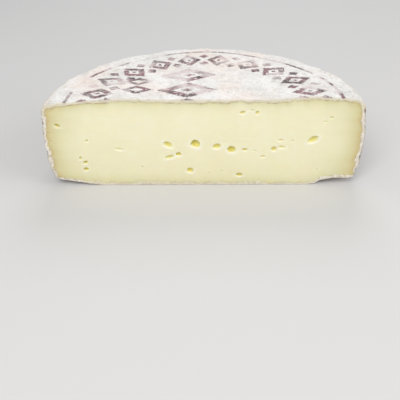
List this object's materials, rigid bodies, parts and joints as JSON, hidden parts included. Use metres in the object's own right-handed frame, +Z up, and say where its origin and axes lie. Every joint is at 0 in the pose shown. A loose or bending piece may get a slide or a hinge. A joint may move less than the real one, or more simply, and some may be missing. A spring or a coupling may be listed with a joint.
{
  "type": "tomme cheese",
  "caption": "Half wheel of tomme cheese with an uneven mould-bloomed rind, a rounded rim and one flat cut face of pale paste with small eyes; it rests on its base.",
  "frame": {"origin": "middle of the bounding box in X and Y, on the surface that the base rests on", "axes": "+X along the cut's long edge, to the right when facing the cut face; +Y from the cut face into the cheese, so the cut face looks towards -Y; +Z up"},
  "size_m": [0.2022, 0.1019, 0.0625],
  "materials": {
    "rind": "natural cheese rind: dry grey-white mould bloom over a grey-brown crust, with a worn dark brown stamped pattern on top",
    "paste": "cut cheese: smooth, slightly moist ivory paste that lets a little light in, darker towards the rind, with small eyes"
  },
  "bodies": {
    "root": {"half_wheel": "rind"}
  },
  "joints": []
}
